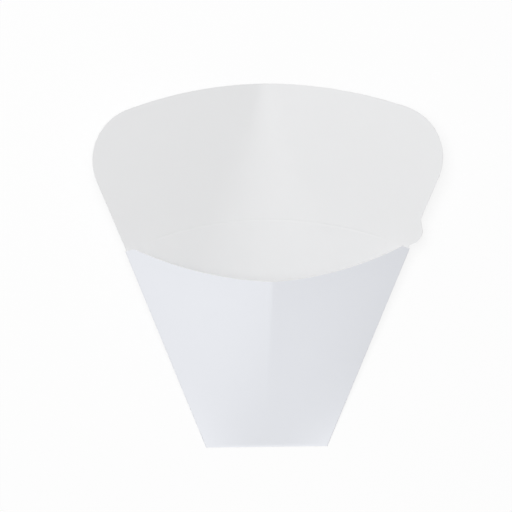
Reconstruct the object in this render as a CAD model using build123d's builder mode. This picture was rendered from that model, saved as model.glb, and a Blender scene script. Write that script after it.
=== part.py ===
from build123d import *
import os
from math import asin, atan, atan2, degrees, sin, sqrt

# Crepe holder: one sheet of white card folded into a flat pouch with a tall back.
# A front and a back panel meet at two slanting side folds and are closed along a straight bottom seam.
# Both panels bow outwards, and their middles are straight lines that lean apart, so the pouch has an open
# mouth. The front panel has a centre crease that fades towards the seam. The back panel is round in its
# middle, and the round narrows to a centre crease at the top of the head.
# The holder has no foot to stand on. It lies on the straight middle of its bowed back.
# Upright sizes are measured in the pouch's own frame: x to its right, y to its back, z up its axis.
# Ground sizes are measured from above on the lying holder: a sideways from its middle, b from the seam up.

# Card and pouch, in millimetres. The run of a side fold and the leans are slopes.
card = 0.45
bottom_half_width = 30.0
side_run = 0.408
seam_height = 3.0
seam_gap = 1.2

# Front panel: the lean of its middle, and the share of its mean slope that the crease takes
front_lean = 0.30
front_crease_share = 0.70
front_crease_height = 95.0

# Back panel: flat beside the side folds and round in its middle. The flat strips are narrowest at the seam,
# and the round narrows upwards to the crease.
back_lean = 0.15
back_open_height = 20.0
back_fold_strip = 4.5
back_crease_half_width = 3.0
back_crease_height = 186.0

# Front rim: two short square shoulders with a round scoop between them
shoulder_height = 100.4
shoulder_width = 4.2
shoulder_rise = 1.7
scoop_depth = 11.3

# Head of the back panel, in ground sizes
head_length = 182.1
head_top_radius = 213.0
head_corner_radius = 26.7
head_edge_run = 0.4274
head_edge_inset = 0.8

# Score across the back panel from shoulder to shoulder, in ground sizes
score_rise = 14.6
score_width = 0.8
score_depth = 0.12
score_inset = 6.0

# Tab on the right edge of the head, just above the shoulder, in ground sizes
tab_rise = 9.1
tab_length = 14.6
tab_reach = 3.2
tab_corner_radius = 7.5

# Room for each cut past the card, and the sections that the card's surface runs through
cut_room = 4.0
seam_steps = 5
panel_steps = 10

# Length of the back panel's middle for each millimetre of height
lean_stretch = sqrt(1 + back_lean**2)


def half_width(height):
    """Distance from the axis to the inside of a side fold."""
    return bottom_half_width + side_run * height


def share(height, low, high):
    """How far a height is from a low to a high one, from 0 to 1."""
    return min(max((height - low) / (high - low), 0), 1)


def front_depth(height):
    """Depth of the front panel's middle, which leans out in a straight line from the top of the seam."""
    return front_lean * max(height - seam_height, 0)


def back_depth(height):
    """Depth of the back panel's middle, which leans out in a straight line above its open height."""
    opened = 1 - (1 - share(height, seam_height, back_open_height)) ** 2
    return back_lean * height * opened


def front_slopes(height):
    """Slopes of the front panel at a side fold and at its crease."""
    mean = front_depth(height) / half_width(height)
    rise = share(height, seam_height, front_crease_height)
    crease = mean * front_crease_share * rise**2 * (3 - 2 * rise)
    return 2 * mean - crease, crease


def back_round(height):
    """Half width of the round in the middle of the back panel."""
    widest = half_width(height) - back_fold_strip - back_crease_half_width
    return back_crease_half_width + widest * (1 - share(height, 0, back_crease_height) ** 2) ** 2


def even_heights(low, high, steps):
    """Evenly spaced heights of a loft's sections."""
    return [low + (high - low) * step / steps for step in range(steps + 1)]


# Shoulders, where the front rim meets the side folds
shoulder_x = half_width(shoulder_height) + card
shoulder_b = shoulder_height / lean_stretch

# Score: an arc through both shoulders
score_radius = (shoulder_x**2 + score_rise**2) / (2 * score_rise)
score_angle = asin((shoulder_x - score_inset) / score_radius)

# Head outline: a straight edge from the shoulder, a corner arc tangent to it and a wide top arc.
# The corner's centre lies along the edge, one corner radius inside it, and touches the top arc from inside.
edge_stretch = sqrt(1 + head_edge_run**2)
edge_angle = atan(head_edge_run)
top_b = head_length - head_top_radius
start_a = shoulder_x - head_edge_inset - head_corner_radius / edge_stretch
start_b = shoulder_b + head_corner_radius * head_edge_run / edge_stretch
along = (start_a * head_edge_run + start_b - top_b) / edge_stretch
across = (start_a - (start_b - top_b) * head_edge_run) / edge_stretch
edge_length = sqrt((head_top_radius - head_corner_radius) ** 2 - across**2) - along
corner_a = start_a + edge_length * head_edge_run / edge_stretch
corner_b = start_b + edge_length / edge_stretch
corner_turn = degrees(edge_angle) + 90
top_angle = asin(corner_a / (head_top_radius - head_corner_radius))


def head_edge(length):
    """Point of the head's straight right edge at a ground length."""
    return (shoulder_x - head_edge_inset + head_edge_run * (length - shoulder_b), length)


def mirrored(point):
    """The same point on the left of the middle."""
    return (-point[0], point[1])


edge_start = head_edge(shoulder_b)
edge_end = head_edge(corner_b - head_corner_radius * sin(edge_angle))

# Tab: an arc leaves the head's edge and ends upright, and a straight side runs back to the edge.
tab_b = shoulder_b + tab_rise
tab_a = head_edge(tab_b)[0] + tab_reach - tab_corner_radius
tab_inside = tab_corner_radius - tab_reach
tab_root = (tab_corner_radius**2 - tab_inside**2) * edge_stretch**2
tab_drop = (tab_inside * head_edge_run + sqrt((tab_inside * head_edge_run) ** 2 + tab_root)) / edge_stretch**2
tab_low = head_edge(tab_b - tab_drop)
tab_high = head_edge(shoulder_b + tab_length)
tab_start_angle = degrees(atan2(-tab_drop, tab_low[0] - tab_a))

# The ground carries ground sizes and the foot carries upright ones.
# Both put the middle of the holder's footprint at the origin.
seam_y = (card * back_lean / lean_stretch - head_length) / 2
ground = Plane(origin=(0, seam_y, 0))
foot = Plane(
    origin=(0, seam_y, card / lean_stretch),
    x_dir=(1, 0, 0),
    z_dir=(0, 1 / lean_stretch, back_lean / lean_stretch),
)
front_view = Plane(origin=foot.origin, x_dir=foot.x_dir, z_dir=-foot.y_dir)
middle = Plane(origin=foot.origin, x_dir=foot.y_dir, z_dir=foot.x_dir)


def front_points(height, thickness):
    """Points of the front panel's level curve, a thickness outside the card's inner face: its distance from
    the axis at the crease, the bend point of its curve and its end at the side fold."""
    side, crease = front_slopes(height)
    width = half_width(height)
    side_stretch = sqrt(1 + side**2)
    crease_stretch = sqrt(1 + crease**2)
    depth = front_depth(height) + thickness * crease_stretch
    bend_x = width / 2 + thickness * (side + crease) / (side_stretch + crease_stretch)
    bend_y = side * (width - bend_x) + thickness * side_stretch
    fold_x = width + thickness * side / side_stretch
    return (0, -depth), (bend_x, -bend_y), (fold_x, -thickness / side_stretch)


def back_points(height, thickness):
    """Points of the back panel's level curve, a thickness outside the card's inner face: its middle, the bend
    point and the end of its round, and its end at the side fold."""
    width = half_width(height)
    rounding = back_round(height)
    slope = back_depth(height) / (width - rounding / 2)
    stretch = sqrt(1 + slope**2)
    depth = back_depth(height) + thickness
    out_x = thickness * slope / stretch
    out_y = thickness / stretch
    bend = (rounding / 2 + thickness * slope / (stretch + 1), depth)
    round_end = (rounding + out_x, slope * (width - rounding) + out_y)
    return (0, depth), bend, round_end, (width + out_x, out_y)


def half_section(height, thickness):
    """Right half of the pouch's section at a height, a thickness outside the card's inner face."""
    back_middle, back_bend, round_end, back_fold = back_points(height, thickness)
    front_middle, front_bend, front_fold = front_points(height, thickness)
    with BuildSketch(foot.offset(height)) as level:
        with BuildLine():
            Line(front_middle, back_middle)
            Bezier(back_middle, back_bend, round_end)
            Line(round_end, back_fold)
            if thickness > 0:
                ThreePointArc(back_fold, (half_width(height) + thickness, 0), front_fold)
            Bezier(front_fold, front_bend, front_middle)
        make_face()
    return level.sketch


# The card is folded as a tall open cone, and the rim and the head are cut from it. The hollow runs one section
# past the top of the blank.
hollow_height = seam_height + seam_gap
blank_height = head_length + cut_room
blank_half_width = half_width(blank_height) + cut_room
blank_length = blank_height + blank_half_width
outer_heights = even_heights(0, back_open_height, seam_steps)
hollow_heights = even_heights(hollow_height, back_open_height, seam_steps)
upper_heights = even_heights(back_open_height, blank_height, panel_steps)
mouth_height = blank_height + (blank_height - back_open_height) / panel_steps
mouth_heights = even_heights(back_open_height, mouth_height, panel_steps + 1)

# Everything inside the bottom of the score, in a band along it
with BuildPart() as score_groove:
    loft([half_section(height, score_depth) for height in upper_heights])
    mirror(about=middle)
    with BuildSketch(ground.offset(-cut_room)):
        with BuildLine():
            CenterArc(
                (0, shoulder_b + score_rise - score_radius),
                score_radius,
                90 - degrees(score_angle),
                2 * degrees(score_angle),
            )
        trace(line_width=score_width)
    extrude(amount=blank_half_width, mode=Mode.INTERSECT)

with BuildPart() as crepe_holder:
    # Right half of the card's outside, and of its hollow, which starts just above the bottom seam
    loft([half_section(height, card) for height in outer_heights])
    loft([half_section(height, card) for height in upper_heights])
    loft([half_section(height, 0) for height in hollow_heights], mode=Mode.SUBTRACT)
    loft([half_section(height, 0) for height in mouth_heights], mode=Mode.SUBTRACT)
    mirror(about=middle)

    # Front rim: everything of the front panel above the shoulders and the scoop
    with BuildSketch(front_view):
        with BuildLine():
            rim = ThreePointArc(
                (shoulder_width - shoulder_x, shoulder_height + shoulder_rise),
                (0, shoulder_height - scoop_depth),
                (shoulder_x - shoulder_width, shoulder_height + shoulder_rise),
            )
            Polyline(
                rim @ 1,
                (shoulder_x, shoulder_height),
                (blank_half_width, shoulder_height),
                (blank_half_width, blank_length),
                (-blank_half_width, blank_length),
                (-blank_half_width, shoulder_height),
                (-shoulder_x, shoulder_height),
                rim @ 0,
            )
        make_face()
    extrude(amount=blank_half_width, mode=Mode.SUBTRACT)

    # Outline of the head, with the tab on its right edge, cut straight down to the ground
    with BuildSketch(ground.offset(-cut_room)):
        with BuildLine():
            Line(edge_start, tab_low)
            CenterArc((tab_a, tab_b), tab_corner_radius, tab_start_angle, -tab_start_angle)
            Polyline((tab_a + tab_corner_radius, tab_b), tab_high, edge_end)
            CenterArc(
                (corner_a, corner_b),
                head_corner_radius,
                -degrees(edge_angle),
                corner_turn - degrees(top_angle),
            )
            CenterArc((0, top_b), head_top_radius, 90 - degrees(top_angle), 2 * degrees(top_angle))
            CenterArc(
                (-corner_a, corner_b),
                head_corner_radius,
                90 + degrees(top_angle),
                corner_turn - degrees(top_angle),
            )
            Polyline(
                mirrored(edge_end),
                mirrored(edge_start),
                (-blank_half_width, shoulder_b),
                (-blank_half_width, blank_length),
                (blank_half_width, blank_length),
                (blank_half_width, shoulder_b),
                edge_start,
            )
        make_face()
    extrude(amount=blank_half_width, mode=Mode.SUBTRACT)

    # Score pressed into the inner face
    add(score_groove.part, mode=Mode.SUBTRACT)

crepe_holder.part.label = "crepe_holder"
os.makedirs("parts", exist_ok=True)
export_step(crepe_holder.part, "parts/crepe_holder.step")
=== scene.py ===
import bmesh
import bpy
import numpy as np
from mathutils import Matrix, Vector


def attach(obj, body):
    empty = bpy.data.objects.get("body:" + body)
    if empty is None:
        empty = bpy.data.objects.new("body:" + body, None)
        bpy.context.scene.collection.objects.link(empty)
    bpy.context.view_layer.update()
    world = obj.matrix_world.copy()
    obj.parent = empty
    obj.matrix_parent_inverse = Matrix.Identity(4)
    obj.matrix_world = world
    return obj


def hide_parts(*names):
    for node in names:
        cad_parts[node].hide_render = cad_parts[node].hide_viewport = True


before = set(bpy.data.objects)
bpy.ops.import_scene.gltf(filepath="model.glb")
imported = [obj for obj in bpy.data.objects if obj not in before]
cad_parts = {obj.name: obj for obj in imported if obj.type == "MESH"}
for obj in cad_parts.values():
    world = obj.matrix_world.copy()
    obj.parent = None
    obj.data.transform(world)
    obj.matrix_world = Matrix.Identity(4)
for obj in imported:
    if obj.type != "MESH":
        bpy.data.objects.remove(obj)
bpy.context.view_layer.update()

# Crepe holder: one sheet of white card folded into a flat pouch with a tall back.
# Upright sizes: x to the pouch's right, y to its back, z up its axis. Ground sizes, from above on the lying
# holder: a sideways from its middle, b from the seam up. All in millimetres until a mesh is made.

# Card and pouch. A gap keeps the two layers apart at the seam. The front begins to lean just above the bottom
# edge, lower than on the solid, whose seam is a strip.
card = 0.45
layer_gap = 0.03
bottom_half_width = 30.0
side_run = 0.408
seam_height = 0.8

# Front panel: the lean of its middle, and the share of its mean slope that the crease takes
front_lean = 0.293
front_crease_share = 0.70
front_crease_height = 95.0
front_crease_round = 0.9

# Back panel: flat beside the side folds and round in its middle, with a round that narrows to the crease
back_lean = 0.15
back_open_height = 20.0
back_fold_strip = 4.5
back_crease_half_width = 3.0
back_crease_height = 186.0

# Front rim: two short shoulders with a round scoop between them
shoulder_height = 100.4
shoulder_width = 4.2
shoulder_rise = 1.7
scoop_depth = 11.3

# Head of the back panel, in ground sizes
head_length = 182.1
head_top_radius = 213.0
head_corner_radius = 26.7
head_edge_run = 0.4274
head_edge_inset = 0.8

# Score across the back panel, pressed out of the card's middle, in ground sizes
score_rise = 14.6
score_press = 0.065
score_spread = 0.4
score_inset = 6.0
score_fade = 26.0

# Tab on the right edge of the head, in ground sizes
tab_rise = 9.1
tab_length = 14.6
tab_reach = 3.2
tab_corner_radius = 7.5

# Points of the sheet: columns from the centre crease to the side fold, rows from the bottom edge to the top
crease_zone = 3.0
scoop_columns = 46
shoulder_columns = 4
notch_columns = 3
seam_rows = 5
panel_rows = 82
low_edge_rows = 6
tab_round_rows = 17
tab_side_rows = 9
edge_rows = 24
corner_rows = 30
fold_turns = 9
join_distance = 2e-6
sharp_angle = 50.0

# Length of the back panel's middle for each millimetre of height, how far the card's middle lies from a fold,
# and millimetres in a metre
lean_stretch = np.sqrt(1 + back_lean**2)
half_card = card / 2 + layer_gap
per_metre = 1000


def half_width(height):
    """Distance from the axis to the inside of a side fold: the half width of the seam plus the run."""
    return bottom_half_width + side_run * height


def share(height, low, high):
    """How far a height is from a low to a high one, held between 0 and 1."""
    return np.clip((height - low) / (high - low), 0, 1)


def front_depth(height):
    """Depth of the front panel's middle: a straight line that leans out from the top of the seam."""
    return front_lean * np.maximum(height - seam_height, 0)


def back_depth(height):
    """Depth of the back panel's middle: a straight line from the bottom edge, times one less the square of
    what is left up to its open height."""
    opened = 1 - (1 - share(height, seam_height, back_open_height)) ** 2
    return back_lean * height * opened


def front_slopes(height):
    """Slopes of the front panel at a side fold and at its crease, which grows by a smooth step."""
    mean = front_depth(height) / half_width(height)
    rise = share(height, seam_height, front_crease_height)
    crease = mean * front_crease_share * rise**2 * (3 - 2 * rise)
    return 2 * mean - crease, crease


def back_round(height):
    """Half width of the round in the back panel's middle: that of the crease, plus the rest of the half width
    beside the flat strip, times the square of one less the squared share of the crease's height."""
    widest = half_width(height) - back_fold_strip - back_crease_half_width
    return back_crease_half_width + widest * (1 - share(height, 0, back_crease_height) ** 2) ** 2


def back_slopes(height):
    """Slope of the back panel beside its round, the same at the side fold and at the round's edge."""
    slope = back_depth(height) / (half_width(height) - back_round(height) / 2)
    return slope, slope


def front_round(height):
    """Half width of the round of the front panel's crease, the same at every height."""
    return np.full_like(height, front_crease_round)


front_form = (front_slopes, front_round)
back_form = (back_slopes, back_round)

# Shoulders, score, tab and outline of the head, in ground sizes
shoulder_x = half_width(shoulder_height) + card
shoulder_b = shoulder_height / lean_stretch
score_radius = (shoulder_x**2 + score_rise**2) / (2 * score_rise)
score_centre = shoulder_b + score_rise - score_radius
edge_stretch = np.sqrt(1 + head_edge_run**2)
edge_angle = np.arctan(head_edge_run)
top_b = head_length - head_top_radius
start_a = shoulder_x - head_edge_inset - head_corner_radius / edge_stretch
start_b = shoulder_b + head_corner_radius * head_edge_run / edge_stretch
along = (start_a * head_edge_run + start_b - top_b) / edge_stretch
across = (start_a - (start_b - top_b) * head_edge_run) / edge_stretch
edge_length = np.sqrt((head_top_radius - head_corner_radius) ** 2 - across**2) - along
corner_a = start_a + edge_length * head_edge_run / edge_stretch
corner_b = start_b + edge_length / edge_stretch
top_angle = np.arcsin(corner_a / (head_top_radius - head_corner_radius))


def edge_a(length):
    """Sideways place of the head's straight edge at a ground length."""
    return shoulder_x - head_edge_inset + head_edge_run * (length - shoulder_b)


tab_b = shoulder_b + tab_rise
tab_a = edge_a(tab_b) + tab_reach - tab_corner_radius
tab_high = shoulder_b + tab_length
tab_inside = tab_corner_radius - tab_reach
tab_root = (tab_corner_radius**2 - tab_inside**2) * edge_stretch**2
tab_run = tab_inside * head_edge_run
tab_drop = (tab_run + np.sqrt(tab_run**2 + tab_root)) / edge_stretch**2
tab_low = tab_b - tab_drop

# Axes of the upright pouch in the row frame
seam_y = (card * back_lean / lean_stretch - head_length) / 2
foot = np.array([0, seam_y, card / lean_stretch])
to_right = np.array([1.0, 0, 0])
up_axis = np.array([0, 1, back_lean]) / lean_stretch
to_back = np.cross(up_axis, to_right)
upright = np.stack([to_right, to_back, up_axis])


def placed(points):
    """Upright points in millimetres, turned into the row frame and given in metres."""
    return (foot + points @ upright) / per_metre


def inner_depth(x, z, form):
    """Distance of a panel's inner face from the side folds' plane: a parabola from the slope at the fold to
    the slope at the crease. Within the round's half width, half the sum of the round and of the squared
    distance from the axis over the round stands for that distance."""
    slopes, round_width = form
    side, crease = slopes(z)
    width = half_width(z)
    rounding = round_width(z)
    near = np.abs(x)
    near = np.where(near < rounding, (near**2 + rounding**2) / (2 * rounding), near)
    inward = width - near
    return side * inward - (side - crease) * inward**2 / (2 * width)


def middle_of_card(x, z, form, push=0.0):
    """Points in the middle of a panel's card, as for the back panel: the inner face moved out along its
    normal by half the card and by a push. The normal comes from small steps along x and z."""
    step = 0.002
    slope_x = (inner_depth(x + step, z, form) - inner_depth(x - step, z, form)) / (2 * step)
    slope_z = (inner_depth(x, z + step, form) - inner_depth(x, z - step, form)) / (2 * step)
    normal = np.stack([-slope_x, np.ones_like(x), -slope_z], axis=-1)
    normal /= np.linalg.norm(normal, axis=-1, keepdims=True)
    face = np.stack([x, inner_depth(x, z, form), z], axis=-1)
    return face + normal * (half_card + np.asarray(push))[..., None]


def ground_length(x, z):
    """Length b on the ground of a point in the back panel's card: its height and depth along the lean."""
    return (back_lean * (inner_depth(x, z, back_form) + half_card) + z) / lean_stretch


def height_at(x, b, rounds=12):
    """Upright height of the back panel at a ground place, from a few rounds of the same sum solved for z."""
    z = b * lean_stretch
    for _ in range(rounds):
        z = b * lean_stretch - back_lean * (inner_depth(x, z, back_form) + half_card)
    return z


# Columns of every panel run from the centre crease to the side fold, as shares of the width at the shoulders.
top_half_width = half_width(shoulder_height)
rim_corner_x = shoulder_x - shoulder_width
notch_x = edge_a(shoulder_b)
near_crease = np.array([0, 0.2, 0.4, 0.6, 0.8, 1.0, 1.4, 2.0, crease_zone])
columns = np.concatenate([
    near_crease,
    np.linspace(crease_zone, rim_corner_x, scoop_columns)[1:],
    np.linspace(rim_corner_x, notch_x, shoulder_columns)[1:],
    np.linspace(notch_x, top_half_width, notch_columns)[1:],
]) / top_half_width
notch_column = len(columns) - notch_columns
heights = np.concatenate([
    np.linspace(0, seam_height, seam_rows),
    np.linspace(seam_height, shoulder_height, panel_rows)[1:],
])


def back_pouch():
    """Back half panel below the shoulders: each height is a row, divided by the columns' shares."""
    z, part = np.meshgrid(heights, columns, indexing="ij")
    return middle_of_card(part * half_width(z), z, back_form)


def rim_height(x):
    """Height of the front rim: an arc through both ends and the middle of the scoop, then the shoulder's
    straight fall to the side fold."""
    half_chord = rim_corner_x
    sag = scoop_depth + shoulder_rise
    radius = (half_chord**2 + sag**2) / (2 * sag)
    scoop = shoulder_height - scoop_depth + radius - np.sqrt(radius**2 - np.minimum(x, half_chord) ** 2)
    fall = shoulder_rise * (x - rim_corner_x) / (top_half_width - rim_corner_x)
    return scoop - np.maximum(fall, 0)


def front_panel():
    """Front half panel: every column runs from the seam to the rim, and bends from its share of the width at
    the seam to its own place at the rim. It lies before the side folds' plane."""
    rim_x = columns * top_half_width
    rim_z = rim_height(rim_x)
    rise, part = np.meshgrid(heights / shoulder_height, columns, indexing="ij")
    spread = 1 + (top_half_width / half_width(rim_z) - 1) * rise
    z = rise * rim_z
    x = part * spread * half_width(z)
    return middle_of_card(x, z, front_form) * np.array([1, -1, 1])


def side_fold():
    """Round of the card about a side fold: a turn about the fold's inside, from the back panel's normal to
    the front panel's, square to the fold's own line."""
    z = heights
    x = half_width(z)
    fold = np.stack([x, np.zeros_like(z), z], axis=-1)
    outward = np.array([1, 0, -side_run]) / np.sqrt(1 + side_run**2)
    back_start = middle_of_card(x, z, back_form) - fold
    front_start = middle_of_card(x, z, front_form) - fold
    back_angle = np.arctan2(back_start[:, 1], back_start @ outward)
    front_angle = np.arctan2(front_start[:, 1], front_start @ outward)
    turn = back_angle[:, None] - (back_angle + front_angle)[:, None] * np.linspace(0, 1, fold_turns)
    ring = np.cos(turn)[..., None] * outward + np.sin(turn)[..., None] * np.array([0, 1, 0])
    return fold[:, None] + half_card * ring


def head_outline(with_tab, rounds=8):
    """Ground points (a, b) up the head's edge from the score to the end of the corner arc: a straight edge,
    the tab or the same stretch of bare edge, the rest of the edge, and the corner arc. The end of the score
    comes from a few rounds of its arc met with the edge."""
    score_end = shoulder_b
    for _ in range(rounds):
        score_end = score_centre + np.sqrt(score_radius**2 - edge_a(score_end) ** 2)
    low = np.linspace(score_end, tab_low, low_edge_rows)[:-1]
    turn = np.linspace(np.arctan2(-tab_drop, edge_a(tab_low) - tab_a), 0, tab_round_rows)
    fall = np.linspace(0, 1, tab_side_rows)[1:]
    tab_side = tab_a + tab_corner_radius
    tab = np.concatenate([
        np.stack([tab_a + tab_corner_radius * np.cos(turn), tab_b + tab_corner_radius * np.sin(turn)], 1),
        np.stack([tab_side + (edge_a(tab_high) - tab_side) * fall, tab_b + (tab_high - tab_b) * fall], 1),
    ])
    if not with_tab:
        bare = np.linspace(tab_low, tab_high, len(tab))
        tab = np.stack([edge_a(bare), bare], 1)
    edge_end = corner_b - head_corner_radius * np.sin(edge_angle)
    high = np.linspace(tab_high, edge_end, edge_rows)[1:]
    corner_turn = np.linspace(-edge_angle, np.pi / 2 - top_angle, corner_rows)[1:]
    corner = np.stack([
        corner_a + head_corner_radius * np.cos(corner_turn),
        corner_b + head_corner_radius * np.sin(corner_turn),
    ], 1)
    return np.concatenate([
        np.stack([edge_a(low), low], 1),
        tab,
        np.stack([edge_a(high), high], 1),
        corner,
    ])


def score_b(a):
    """Ground length of the score: an arc through both shoulders."""
    return score_centre + np.sqrt(score_radius**2 - a**2)


def arch_b(a):
    """Ground length of the head's top: a wide arc."""
    return top_b + np.sqrt(head_top_radius**2 - a**2)


def shoulder_row(a):
    """Ground length of the back panel's row that is level with the shoulders."""
    return ground_length(a, np.full_like(a, shoulder_height))


def head(with_tab):
    """Head's half: rows run from the crease to the outline. The lowest is level with the shoulders, one
    follows the score and the last is the top arc, and the shapes of the rows between are blended."""
    part = columns[: notch_column + 1] / columns[notch_column]
    below = np.array([0, 0.25, 0.5, 0.68, 0.8, 0.88, 0.93, 0.965, 0.985])
    plain = head_outline(False)
    outline = head_outline(with_tab)
    lengths = np.concatenate([[0], np.cumsum(np.linalg.norm(np.diff(plain, axis=0), axis=1))])
    above = lengths / lengths[-1]

    low_row = shoulder_row(part * notch_x)
    score_row = score_b(part * plain[0, 0])
    arch_row = arch_b(part * plain[-1, 0])
    low_shape, score_shape, arch_shape = [
        (row - row[0]) / (row[-1] - row[0]) for row in (low_row, score_row, arch_row)
    ]
    crease_b = np.concatenate([
        low_row[0] + (score_row[0] - low_row[0]) * below,
        score_row[0] + (arch_row[0] - score_row[0]) * above,
    ])
    edge_b = np.concatenate([low_row[-1] + (plain[0, 1] - low_row[-1]) * below, outline[:, 1]])
    edge_x = np.concatenate([notch_x + (plain[0, 0] - notch_x) * below, outline[:, 0]])
    shape = np.concatenate([
        low_shape + below[:, None] * (score_shape - low_shape),
        score_shape + above[:, None] * (arch_shape - score_shape),
    ])
    b = crease_b[:, None] + (edge_b - crease_b)[:, None] * shape
    x = edge_x[:, None] * part
    off_score = np.hypot(x, b - score_centre) - score_radius
    ends = np.clip((shoulder_x - score_inset - x) / score_fade, 0, 1)
    press = score_press * np.exp(-(off_score / score_spread) ** 2) * ends * (2 - ends)
    return middle_of_card(x, height_at(x, b), back_form, press)


def quads(rows, cols, start, turned):
    """Faces of a grid whose points are stored row by row from a start."""
    corner = start + np.arange(rows - 1)[:, None] * cols + np.arange(cols - 1)
    corner = corner.ravel()
    order = [corner, corner + 1, corner + cols + 1, corner + cols]
    return np.stack(order[::-1] if turned else order, axis=1)


def folded_card():
    """The whole sheet as one open surface in the middle of the card, from its two mirrored halves."""
    points, faces, start = [], [], 0
    for side in (1, -1):
        sheets = [
            (back_pouch(), False),
            (head(side > 0), False),
            (side_fold(), False),
            (front_panel(), True),
        ]
        for grid, turned in sheets:
            rows, cols = grid.shape[:2]
            points.append(placed(grid.reshape(-1, 3) * np.array([side, 1, 1])))
            faces.append(quads(rows, cols, start, turned != (side > 0)))
            start += rows * cols
    mesh = bpy.data.meshes.new("folded_card")
    mesh.from_pydata(np.concatenate(points).tolist(), [], np.concatenate(faces).tolist())
    joined = bmesh.new()
    joined.from_mesh(mesh)
    bmesh.ops.remove_doubles(joined, verts=joined.verts, dist=join_distance)
    joined.to_mesh(mesh)
    joined.free()
    return mesh


def thick_piece(name, mesh, thickness, finishes):
    """A closed piece from a sheet: the sheet gets its thickness on both sides, with one finish for the outer
    face, one for the inner face and one for the cut edge, and stays sharp only at the cut."""
    sheet = bpy.data.objects.new(name + "_sheet", mesh)
    bpy.context.scene.collection.objects.link(sheet)
    for finish in finishes:
        mesh.materials.append(finish)
    solid = sheet.modifiers.new("thickness", "SOLIDIFY")
    solid.thickness = thickness
    solid.offset = 0
    solid.use_even_offset = True
    solid.use_quality_normals = True
    solid.material_offset = 1
    solid.material_offset_rim = 2
    ready = sheet.evaluated_get(bpy.context.evaluated_depsgraph_get())
    solid_mesh = bpy.data.meshes.new_from_object(ready)
    bpy.data.objects.remove(sheet)
    solid_mesh.polygons.foreach_set("use_smooth", np.ones(len(solid_mesh.polygons), bool))
    solid_mesh.set_sharp_from_angle(angle=np.radians(sharp_angle))
    piece = bpy.data.objects.new(name, solid_mesh)
    bpy.context.scene.collection.objects.link(piece)
    return piece


class Wire:
    """One output of a shader node. Sums and products of wires and numbers add Math nodes."""

    def __init__(self, tree, socket):
        self.tree = tree
        self.socket = socket

    def node(self, kind, settings, inputs, output=0):
        """Any other node of this tree: its type, its settings and the values or links of its sockets."""
        made = self.tree.nodes.new(kind)
        for key, value in settings.items():
            setattr(made, key, value)
        for key, value in inputs.items():
            if isinstance(value, Wire):
                self.tree.links.new(value.socket, made.inputs[key])
            else:
                made.inputs[key].default_value = value
        return Wire(self.tree, made.outputs[output])

    def maths(self, operation, first, second):
        """A Math node on two wires or numbers."""
        return self.node("ShaderNodeMath", {"operation": operation}, {0: first, 1: second})

    def __add__(self, other):
        return self.maths("ADD", self, other)

    def __radd__(self, other):
        return self.maths("ADD", other, self)

    def __sub__(self, other):
        return self.maths("SUBTRACT", self, other)

    def __rsub__(self, other):
        return self.maths("SUBTRACT", other, self)

    def __mul__(self, other):
        return self.maths("MULTIPLY", self, other)

    def __rmul__(self, other):
        return self.maths("MULTIPLY", other, self)


# Card's surface: noise scales and details of its cloudiness, fibres and specks, their shares in tone and in
# relief, and how strongly they raise the surface and change its gloss
cloud_scale, cloud_detail = 70.0, 4.0
fibre_scale, fibre_detail = 1400.0, 5.0
speck_scale, speck_detail = 5200.0, 2.0
fibre_stretch = (1.0, 0.35, 1.0)
cloud_tone, fibre_tone, speck_tone = 0.55, 0.3, 0.15
fibre_relief, speck_relief = 0.7, 0.3
bump_strength = 0.35
middle_noise = 0.5
gloss_spread = 0.16
card_gloss = 0.3

# Sockets of a Mix node that hold colours, which share their names with its number sockets
mix_first, mix_second, mix_result = 6, 7, 2


def card_finish(name, light, shade, gloss_roughness, bump_height):
    """Card: the colour wanders between a light and a shaded tone with the cloudiness of the pulp and with its
    fibres, which also raise the surface a little and make its gloss uneven."""
    finish = bpy.data.materials.new(name)
    finish.use_nodes = True
    tree = finish.node_tree
    shader = tree.nodes["Principled BSDF"]
    start = Wire(tree, None)
    place = start.node("ShaderNodeTexCoord", {}, {}, "Object")
    grain_place = start.node("ShaderNodeMapping", {}, {"Vector": place, "Scale": fibre_stretch})
    cloud, fibre, speck = [
        start.node("ShaderNodeTexNoise", {}, {"Vector": at, "Scale": scale, "Detail": detail})
        for at, scale, detail in (
            (place, cloud_scale, cloud_detail),
            (grain_place, fibre_scale, fibre_detail),
            (place, speck_scale, speck_detail),
        )
    ]
    tone = cloud * cloud_tone + fibre * fibre_tone + speck * speck_tone
    mixed = start.node(
        "ShaderNodeMix",
        {"data_type": "RGBA"},
        {"Factor": tone, mix_first: (*light, 1.0), mix_second: (*shade, 1.0)},
        mix_result,
    )
    relief = fibre * fibre_relief + speck * speck_relief
    bump = start.node(
        "ShaderNodeBump",
        {},
        {"Strength": bump_strength, "Distance": bump_height, "Height": relief},
    )
    roughness = gloss_roughness + (fibre - middle_noise) * gloss_spread
    tree.links.new(mixed.socket, shader.inputs["Base Color"])
    tree.links.new(roughness.socket, shader.inputs["Roughness"])
    tree.links.new(bump.socket, shader.inputs["Normal"])
    shader.inputs["Specular IOR Level"].default_value = card_gloss
    return finish


outside = card_finish(
    "card_outside",
    light=(0.845, 0.861, 0.903),
    shade=(0.825, 0.842, 0.885),
    gloss_roughness=0.52,
    bump_height=0.00003,
)
inside = card_finish(
    "card_inside",
    light=(0.766, 0.769, 0.776),
    shade=(0.748, 0.751, 0.757),
    gloss_roughness=0.62,
    bump_height=0.00004,
)
# The cut edge is painted lighter than both faces of the card: painted light that stands in for light from
# above falling on its top.
cut_edge_painted_light = card_finish(
    "card_cut_edge",
    light=(0.93, 0.93, 0.925),
    shade=(0.89, 0.888, 0.88),
    gloss_roughness=0.8,
    bump_height=0.00006,
)

holder = thick_piece("crepe_holder_card", folded_card(), card / per_metre, [outside, inside, cut_edge_painted_light])
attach(holder, "root")
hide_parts("crepe_holder")

# Floor, in metres: its half size, how far it lies below the holder, its paint, and how much of what a camera
# or a mirror sees of it is plain white
floor_half_size = 6.0
floor_drop = 0.0002
floor_paint = (0.86, 0.86, 0.86, 1.0)
floor_white = 0.87
white = (1.0, 1.0, 1.0, 1.0)


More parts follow.
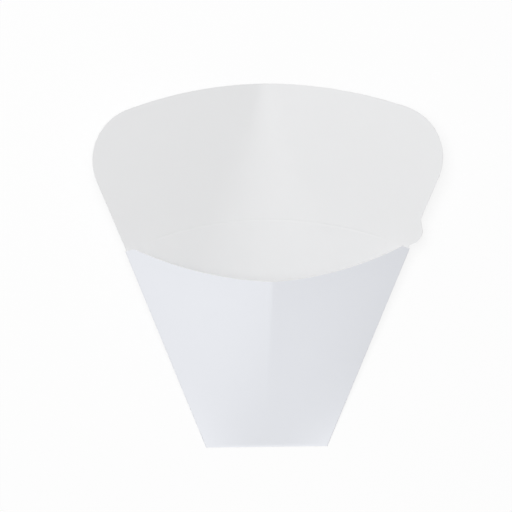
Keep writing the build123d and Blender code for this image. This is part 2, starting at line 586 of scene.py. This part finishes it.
def seen_directly(start):
    """One for rays from the camera and for glossy and clear rays, and zero for all other rays."""
    camera_ray, glossy_ray, clear_ray = [
        start.node("ShaderNodeLightPath", {}, {}, ray)
        for ray in ("Is Camera Ray", "Is Glossy Ray", "Is Transmission Ray")
    ]
    return camera_ray + glossy_ray + clear_ray


def floor_finish():
    """Pale floor that a camera sees as nearly white, with the shadow left in it."""
    finish = bpy.data.materials.new("pale_floor")
    finish.use_nodes = True
    tree = finish.node_tree
    tree.nodes.remove(tree.nodes["Principled BSDF"])
    start = Wire(tree, None)
    paint = start.node("ShaderNodeBsdfDiffuse", {}, {"Color": floor_paint})
    plain = start.node("ShaderNodeEmission", {}, {"Color": white, "Strength": 1.0})
    mixed = start.node("ShaderNodeMixShader", {}, {0: seen_directly(start) * floor_white, 1: paint, 2: plain})
    tree.links.new(mixed.socket, tree.nodes["Material Output"].inputs["Surface"])
    return finish


floor_mesh = bpy.data.meshes.new("floor")
floor_corners = np.array([[-1, -1], [1, -1], [1, 1], [-1, 1]]) * floor_half_size
floor_mesh.from_pydata([(*corner, -floor_drop) for corner in floor_corners.tolist()], [], [(0, 1, 2, 3)])
floor_mesh.materials.append(floor_finish())
floor = bpy.data.objects.new("floor", floor_mesh)
bpy.context.scene.collection.objects.link(floor)

# Even light from all round, which is white where it is seen directly, and a wide soft lamp before the mouth
room_light = 0.3
room = bpy.data.worlds.new("room")
room.use_nodes = True
bpy.context.scene.world = room
room_tree = room.node_tree
room_shader = room_tree.nodes["Background"]
room_strength = seen_directly(Wire(room_tree, None)) * (1 - room_light) + room_light
room_tree.links.new(room_strength.socket, room_shader.inputs["Strength"])
room_shader.inputs["Color"].default_value = white

lamp_distance = 2.0


def soft_lamp(name, turn, rise, size, power):
    """Square lamp that faces the pouch, turned from the front to the pouch's left and raised, in degrees. Its
    size is in metres and its power in watts."""
    turn, rise = np.radians(turn), np.radians(rise)
    ahead = np.array([-np.sin(turn) * np.cos(rise), -np.cos(turn) * np.cos(rise), np.sin(rise)]) @ upright
    lamp_data = bpy.data.lights.new(name, "AREA")
    lamp_data.shape = "SQUARE"
    lamp_data.size = size
    lamp_data.energy = power
    lamp = bpy.data.objects.new(name, lamp_data)
    lamp.location = Vector(ahead * lamp_distance)
    lamp.rotation_euler = Vector(-ahead).to_track_quat("-Z", "Y").to_euler()
    lamp.visible_camera = False
    bpy.context.scene.collection.objects.link(lamp)


soft_lamp("front_lamp", turn=10.0, rise=20.0, size=0.8, power=30.7)

# Camera at the photograph's viewing angle on the upright pouch: a little to one side and a little from above.
# Its distance and field are in metres, and the centre of its frame in millimetres to the right and up.
yaw = np.radians(4.9)
pitch = np.radians(10.6)
distance = 9.0
field = 0.2567
frame_centre = (-5.815, 95.545)
roll = np.radians(0.25)
sensor_width = 36.0
far_end = 100.0
behind = to_right * np.sin(yaw) + to_back * np.cos(yaw)
view_right = to_right * np.cos(yaw) - to_back * np.sin(yaw)
view_up = up_axis * np.cos(pitch) + behind * np.sin(pitch)
view_away = behind * np.cos(pitch) - up_axis * np.sin(pitch)
target = (foot + view_right * frame_centre[0] + view_up * frame_centre[1]) / per_metre
view_right, view_up = (
    view_right * np.cos(roll) + view_up * np.sin(roll),
    view_up * np.cos(roll) - view_right * np.sin(roll),
)
camera_data = bpy.data.cameras.new("camera")
camera_data.sensor_width = sensor_width
camera_data.lens = sensor_width * distance / field
camera_data.clip_end = far_end
camera = bpy.data.objects.new("camera", camera_data)
camera.matrix_world = Matrix.Translation(Vector(target - view_away * distance)) @ Matrix(
    np.stack([view_right, view_up, -view_away], axis=1).tolist()
).to_4x4()
bpy.context.scene.collection.objects.link(camera)
bpy.context.scene.camera = camera

bpy.context.scene.view_settings.view_transform = "Standard"
